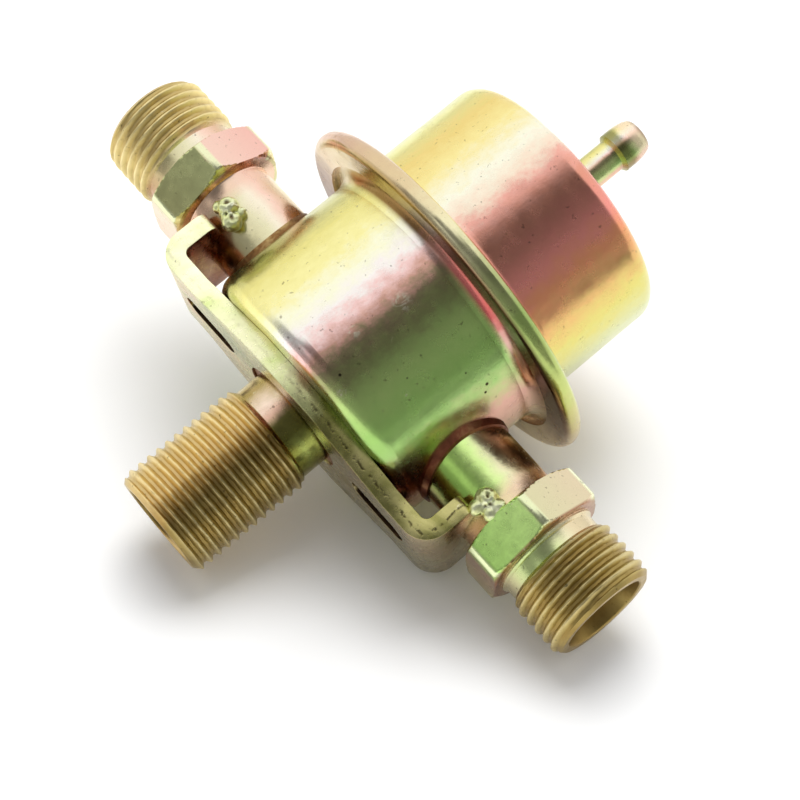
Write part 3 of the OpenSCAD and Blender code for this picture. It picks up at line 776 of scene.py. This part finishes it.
def nipple_material(name):
    """Film with a painted highlight on the stem, olive painted shade at the bulb's foot, dull pink over
    the bulb and brown at its end.
    """
    n = Nodes(name)
    z = n.xyz()[2]
    cloud = n.noise(230)
    colour = film_round(n, CUP_FILM_AND_HIGHLIGHT, NIPPLE_DRIFT, (0.2, 0.5, 0.1))
    colour = n.mix(n.span(cloud, 0.4, 0.7, 0.05, 0.5), colour, STEM_CREAM)
    wander = n.scaled(cloud, 2.4 * MM, -1.2 * MM)
    along = n.math("SUBTRACT", n.math("ADD", z, wander), BULB_FOOT * MM)
    from_foot = n.math("ABSOLUTE", n.math("SUBTRACT", along, 0.7 * MM))
    colour = n.mix(n.band(from_foot, 0.5, 1.6, 0.75, 0.0), colour, FOOT_SHADE_OLIVE)
    colour = n.mix(n.band(along, 1.6, 3.0, 0.0, 0.7), colour, BULB_PINK)
    colour = n.mix(n.band(along, BULB_L - 0.7, BULB_L - 0.1, 0.0, 0.8), colour, BULB_END)
    fine = n.noise(700)
    n.bump(fine, 0.16, FINE_BUMP)
    metal = n.band(along, 1.2, 3.0, 1.0, 0.6)
    return n.finish(scuffs(n, colour, 0.6), metal, n.rough(fine, 0.20, 0.32))


def mottled(name, colours, metallic, rough, scale, bump):
    """Noise between a few colours, for joining metal and the pieces inside."""
    n = Nodes(name)
    wide = n.noise(scale, 4.0, distort=0.5)
    colour = n.ramp(wide, [(0.25 + 0.5 * i / (len(colours) - 1), c) for i, c in enumerate(colours)])
    fine = n.noise(scale * 7)
    colour = n.mix(n.span(fine, 0.6, 0.75, 0.0, 0.45), colour, tuple(0.55 * c for c in colours[0]))
    n.bump(n.scaled(fine, 0.6, wide), bump, ROUGH_BUMP)
    return n.finish(colour, metallic, n.rough(fine, *rough))


def weld_material(name):
    """Pale weld metal, brown in its pits."""
    n = Nodes(name)
    wide = n.noise(420, 4.0, distort=0.5)
    hollow = n.add("ShaderNodeAttribute", attribute_name="hollow").outputs["Fac"]
    colour = n.mix(n.span(hollow, 0.12, 0.40, 0.0, 0.9), n.ramp(wide, WELD_PALE), WELD_BROWN)
    fine = n.noise(2900)
    n.bump(n.scaled(fine, 0.6, wide), 0.2, ROUGH_BUMP)
    return n.finish(colour, 1.0, n.rough(fine, 0.30, 0.46))


def dress(material, *names):
    """Give CAD nodes a material."""
    for name in names:
        mesh = nodes[name].data
        mesh.materials.clear()
        mesh.materials.append(material)


turned_x = union_material("turned_union")
turned_z = stub_material("turned_stub")
strip = strip_material("bracket_strip")
weld_metal = weld_material("weld_metal")
steel = mottled("bright_steel", [(196, 197, 200), (218, 219, 221)], 1.0, (0.22, 0.34), 300, 0.08)
dress(can_material("cup_film_and_highlight", CUP_FILM_AND_HIGHLIGHT, (0, 0, 0), True), "fuel_cup")
dress(can_material("cover_film_and_highlight", COVER_FILM_AND_HIGHLIGHT, (0.3, 0.1, 0)), "spring_cover")
dress(nipple_material("nipple_film_and_shade"), "vacuum_nipple")
dress(mottled("braze_olive", [(96, 66, 36), (140, 102, 60), (206, 178, 120)], 0.9, (0.28, 0.5), 380, 0.4),
      "braze_left")
dress(mottled("braze_brown", [(88, 50, 36), (140, 84, 60), (190, 146, 100)], 0.9, (0.28, 0.5), 320, 0.4),
      "braze_right", "braze_collar")
dress(steel, "clamp_washer", "spring_plate", "valve_holder", "retaining_ring", "valve_plate", "valve_ball",
      "spring_cap")
dress(mottled("spring_wire", [(160, 162, 167), (190, 191, 194)], 1.0, (0.25, 0.4), 350, 0.10),
      "main_spring", "ball_spring")
dress(mottled("seat_brass", [(205, 175, 110), (230, 205, 142)], 1.0, (0.2, 0.32), 300, 0.06), "valve_seat")
dress(mottled("diaphragm_rubber", [(46, 46, 48), (68, 68, 70)], 0.0, (0.6, 0.8), 500, 0.25), "diaphragm")

# Pieces that replace plain solids

# Lumps of a weld, each a middle and a radius in millimetres, with Y out of the bracket's side
TWO_LOBES = [
    ((0, 0, 0), 1.20), ((-0.7, 0.3, 0.5), 1.50), ((1.1, 0.1, -0.4), 1.40), ((0.9, 0.0, 1.3), 0.75),
    ((-1.7, 0.0, -0.3), 0.90)]
KNOT = [
    ((0, 0, 0), 1.20), ((-0.6, 0.3, 0.35), 1.40), ((1.2, 0.1, 0.75), 1.10), ((-0.5, 0.0, -1.3), 1.10),
    ((1.2, 0.0, -0.6), 1.0), ((1.9, -0.1, 0.9), 0.60)]

# Pits of a weld, each a direction, a depth in millimetres and a width in radians
LEFT_PITS = [
    ((-0.7, 1.0, 0.45), 0.55, 0.22), ((0.9, 1.0, -0.15), 0.46, 0.22), ((0.1, 1.0, -0.35), 0.36, 0.20),
    ((0.6, 1.0, 0.6), 0.30, 0.25)]
RIGHT_PITS = [
    ((-0.3, 1.0, 0.35), 0.42, 0.20), ((0.55, 1.0, 0.1), 0.40, 0.26), ((0.3, 1.0, -0.6), 0.35, 0.28),
    ((-0.6, 1.0, -0.5), 0.25, 0.22)]

# Shifts of the welds from the places of their solids, in millimetres
IN_LEFT = (1.6, 0, 0.7)
OUT_RIGHT = (1.2, 0, 0.1)

for obj, node, material, slot in (
        (union_mesh("union_left_threaded", -1), "union_left", turned_x, "zinc_turned"),
        (union_mesh("union_right_threaded", 1), "union_right", turned_x, "zinc_turned"),
        (stub_mesh("return_stub_threaded"), "return_stub", turned_z, "zinc_turned"),
        (rounded_copy("bracket_edged", "bracket", BRACKET_BREAK), "bracket", strip, "zinc_sheet"),
        (weld_bead("weld_left_front_bead", -1, -1, IN_LEFT, TWO_LOBES, LEFT_PITS, 1),
         "weld_left_front", weld_metal, "weld"),
        (weld_bead("weld_left_back_bead", -1, 1, IN_LEFT, KNOT, LEFT_PITS, 2),
         "weld_left_back", weld_metal, "weld"),
        (weld_bead("weld_right_front_bead", 1, -1, OUT_RIGHT, KNOT, RIGHT_PITS, 3),
         "weld_right_front", weld_metal, "weld"),
        (weld_bead("weld_right_back_bead", 1, 1, OUT_RIGHT, TWO_LOBES, RIGHT_PITS, 4),
         "weld_right_back", weld_metal, "weld")):
    obj.data.materials.clear()
    obj.data.materials.append(material)
    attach(obj, "housing")
    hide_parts(node)

# Diaphragm and main spring as pieces of their own, the spring carried by the housing

diaphragm = new_object("diaphragm_sheet", nodes["diaphragm"].data.copy())
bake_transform(diaphragm)
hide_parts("diaphragm")
spring = new_object("main_spring_coil", nodes["main_spring"].data.copy())
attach(spring, "housing")
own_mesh(spring)
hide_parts("main_spring")

# Camera, fitted to the photograph: place in millimetres, turns about X, Y and Z, focal length in pixels

CAMERA_PLACE = (93.43, -267.87, -33.18)
CAMERA_TURNS = (104.216, -49.584, 6.829)
FOCAL_PX = 2160.7
FRAME_PX = 800
SENSOR = 36.0
NEAREST = 0.01

camera_data = bpy.data.cameras.new("camera")
camera_data.sensor_width = SENSOR
camera_data.lens = SENSOR * FOCAL_PX / FRAME_PX
camera_data.clip_start = NEAREST
camera = bpy.data.objects.new("camera", camera_data)
scene.collection.objects.link(camera)
facing = Euler([math.radians(a) for a in CAMERA_TURNS]).to_matrix()
camera.matrix_world = Matrix.Translation(Vector(CAMERA_PLACE) * MM) @ facing.to_4x4()
scene.camera = camera

# Stage, in metres. The part lies on its flange, the end of its stub and the end of the right union.

FLOOR_HALF = 0.9
FLOOR_GREY = 0.93
down = Vector((0.2636, 0.8959, -0.3573)).normalized()
up = -down
middle = Vector((0, 0, 18)) * MM
behind = facing.col[2]
towards = (behind - up * up.dot(behind)).normalized()
stage_turn = Matrix((towards, up.cross(towards), up)).transposed().to_4x4()
lowest = max((obj.matrix_world @ v.co).dot(down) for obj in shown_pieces() for v in obj.data.vertices)
floor_origin = down * lowest


def stage_mesh(name, verts, faces, origin, material):
    """Stage piece in the floor's own frame: X towards the camera, Z up."""
    mesh = bpy.data.meshes.new(name)
    mesh.from_pydata(verts, [], faces)
    mesh.materials.append(material)
    obj = bpy.data.objects.new(name, mesh)
    scene.collection.objects.link(obj)
    obj.matrix_world = Matrix.Translation(origin) @ stage_turn
    obj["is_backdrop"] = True
    return obj


def empty_tree(owner):
    """Node tree of a material or world, with nothing in it."""
    owner.use_nodes = True
    owner.node_tree.nodes.clear()
    return owner.node_tree


def floor_material():
    """Pale matt floor that is clear from below."""
    mat = bpy.data.materials.new("floor")
    tree = empty_tree(mat)
    out = tree.nodes.new("ShaderNodeOutputMaterial")
    diffuse = tree.nodes.new("ShaderNodeBsdfDiffuse")
    diffuse.inputs["Color"].default_value = (FLOOR_GREY, FLOOR_GREY, FLOOR_GREY, 1)
    clear = tree.nodes.new("ShaderNodeBsdfTransparent")
    geometry = tree.nodes.new("ShaderNodeNewGeometry")
    pick = tree.nodes.new("ShaderNodeMixShader")
    tree.links.new(geometry.outputs["Backfacing"], pick.inputs[0])
    tree.links.new(diffuse.outputs[0], pick.inputs[1])
    tree.links.new(clear.outputs[0], pick.inputs[2])
    tree.links.new(pick.outputs[0], out.inputs[0])
    return mat


def card_material():
    """Even grey of the level that each point of a card has."""
    mat = bpy.data.materials.new("dark_card")
    tree = empty_tree(mat)
    out = tree.nodes.new("ShaderNodeOutputMaterial")
    glow = tree.nodes.new("ShaderNodeEmission")
    level = tree.nodes.new("ShaderNodeAttribute")
    level.attribute_name = "level"
    tree.links.new(level.outputs["Fac"], glow.inputs["Strength"])
    tree.links.new(glow.outputs[0], out.inputs[0])
    return mat


def dark_card(name, rows, origin, level):
    """Dark card that only the polished metal sees, a grid through rows of points. It casts no shadow."""
    count = len(rows[0])
    points = [point for row in rows for point in row]
    faces = [(i * count + k, i * count + k + 1, (i + 1) * count + k + 1, (i + 1) * count + k)
             for i in range(len(rows) - 1) for k in range(count - 1)]
    obj = stage_mesh(name, points, faces, origin, card_material())
    shade = obj.data.attributes.new("level", "FLOAT", "POINT")
    for i, point in enumerate(points):
        shade.data[i].value = level(point)
    obj.visible_camera = False
    obj.visible_diffuse = False
    obj.visible_shadow = False
    obj.visible_transmission = False


def ease(value, low, high):
    """Smooth step from 0 at low to 1 at high."""
    t = min(1.0, max(0.0, (value - low) / (high - low)))
    return t * t * (3 - 2 * t)


def spread(low, high, steps):
    """Even values from low to high."""
    return [low + (high - low) * i / steps for i in range(steps + 1)]


# Card round the part: reach in metres, tilts from upright and turns from the camera's side in degrees
CARD_REACH = 0.7
CARD_TURNS = spread(-95, 95, 64)
CARD_TILTS = spread(8, 90, 48)
CARD_ENDS = (80, 92)
EDGE_TILT = 12
EDGE_SOFT = 13
EDGE_DROP = 34
DROP_TURNS = (45, 72)
DARK_LEVEL = 0.17
DARK_LIFT = 0.17
LIFT_TILTS = (38, 72)
PATCH_TILT = 59
PATCH_TURN = -51
PATCH_SIZE = 9
PATCH_LIFT = 0.42
PATCH_EDGE = (0.3, 1.6)

# Mat on the floor in front of the part
MAT_REACH = 0.16
MAT_RISE = 0.001
MAT_TURNS = spread(-80, 80, 32)
MAT_LEVEL = 0.33


def on_card(tilt, turn):
    """Point on the round card."""
    t = math.radians(tilt)
    a = math.radians(turn)
    return Vector((math.sin(t) * math.cos(a), math.sin(t) * math.sin(a), math.cos(t))) * CARD_REACH


def on_mat(reach, turn):
    """Point on the flat mat."""
    a = math.radians(turn)
    return Vector((reach * math.cos(a), reach * math.sin(a), MAT_RISE))


def card_level(point):
    """White above, darkest at mid height, with its top edge lower at one end and one pale patch."""
    d = point.normalized()
    tilt = math.degrees(math.acos(d.z))
    turn = math.degrees(math.atan2(d.y, d.x))
    edge = EDGE_TILT + EDGE_DROP * ease(-turn, *DROP_TURNS)
    dark = DARK_LEVEL + DARK_LIFT * ease(tilt, *LIFT_TILTS)
    patch = ((tilt - PATCH_TILT) / PATCH_SIZE) ** 2 + ((turn - PATCH_TURN) / PATCH_SIZE) ** 2
    dark += PATCH_LIFT * (1 - ease(patch, *PATCH_EDGE))
    fade = ease(tilt, edge, edge + EDGE_SOFT) * (1 - ease(abs(turn), *CARD_ENDS))
    return 1 + (dark - 1) * fade


def mat_level(point):
    """The same grey all over."""
    return MAT_LEVEL


stage_mesh("floor", [(-FLOOR_HALF, -FLOOR_HALF, 0), (FLOOR_HALF, -FLOOR_HALF, 0),
                     (FLOOR_HALF, FLOOR_HALF, 0), (-FLOOR_HALF, FLOOR_HALF, 0)],
           [(0, 1, 2, 3)], floor_origin, floor_material())
dark_card("dark_card", [[on_card(tilt, turn) for turn in CARD_TURNS] for tilt in CARD_TILTS],
          middle, card_level)
dark_card("dark_mat", [[on_mat(reach, turn) for turn in MAT_TURNS] for reach in (MAT_REACH, CARD_REACH)],
          floor_origin, mat_level)

# World and lamps. A lamp has a place in the floor's frame and a side, in metres, and a power in watts.

WORLD_LEVEL = 0.62
LAMPS = [("key", (-0.14, -0.03, 0.52), 0.42, 2.2), ("fill", (-0.14, 0.14, 0.48), 0.40, 0.5)]


def studio_world():
    """Even light all round, and plain white to the camera and in polished metal and glass."""
    world = bpy.data.worlds.new("studio")
    tree = empty_tree(world)
    out = tree.nodes.new("ShaderNodeOutputWorld")
    lit = tree.nodes.new("ShaderNodeBackground")
    lit.inputs["Color"].default_value = (1, 1, 1, 1)
    lit.inputs["Strength"].default_value = WORLD_LEVEL
    white = tree.nodes.new("ShaderNodeBackground")
    white.inputs["Color"].default_value = (1, 1, 1, 1)
    white.inputs["Strength"].default_value = 1.0
    path = tree.nodes.new("ShaderNodeLightPath")
    seen = path.outputs["Is Camera Ray"]
    for ray in ("Is Glossy Ray", "Is Transmission Ray"):
        either = tree.nodes.new("ShaderNodeMath")
        either.operation = "MAXIMUM"
        tree.links.new(seen, either.inputs[0])
        tree.links.new(path.outputs[ray], either.inputs[1])
        seen = either.outputs[0]
    pick = tree.nodes.new("ShaderNodeMixShader")
    tree.links.new(seen, pick.inputs[0])
    tree.links.new(lit.outputs[0], pick.inputs[1])
    tree.links.new(white.outputs[0], pick.inputs[2])
    tree.links.new(pick.outputs[0], out.inputs[0])
    return world


def soft_lamp(name, offset, side, power):
    """Square lamp aimed at the part and left out of its reflections."""
    light = bpy.data.lights.new(name, "AREA")
    light.shape = "SQUARE"
    light.size = side
    light.energy = power
    obj = bpy.data.objects.new(name, light)
    scene.collection.objects.link(obj)
    place = middle + stage_turn.to_3x3() @ Vector(offset)
    obj.location = place
    obj.rotation_euler = (middle - place).to_track_quat("-Z", "Y").to_euler()
    obj.visible_glossy = False


scene.world = studio_world()
for lamp in LAMPS:
    soft_lamp(*lamp)

scene.view_settings.view_transform = "Standard"
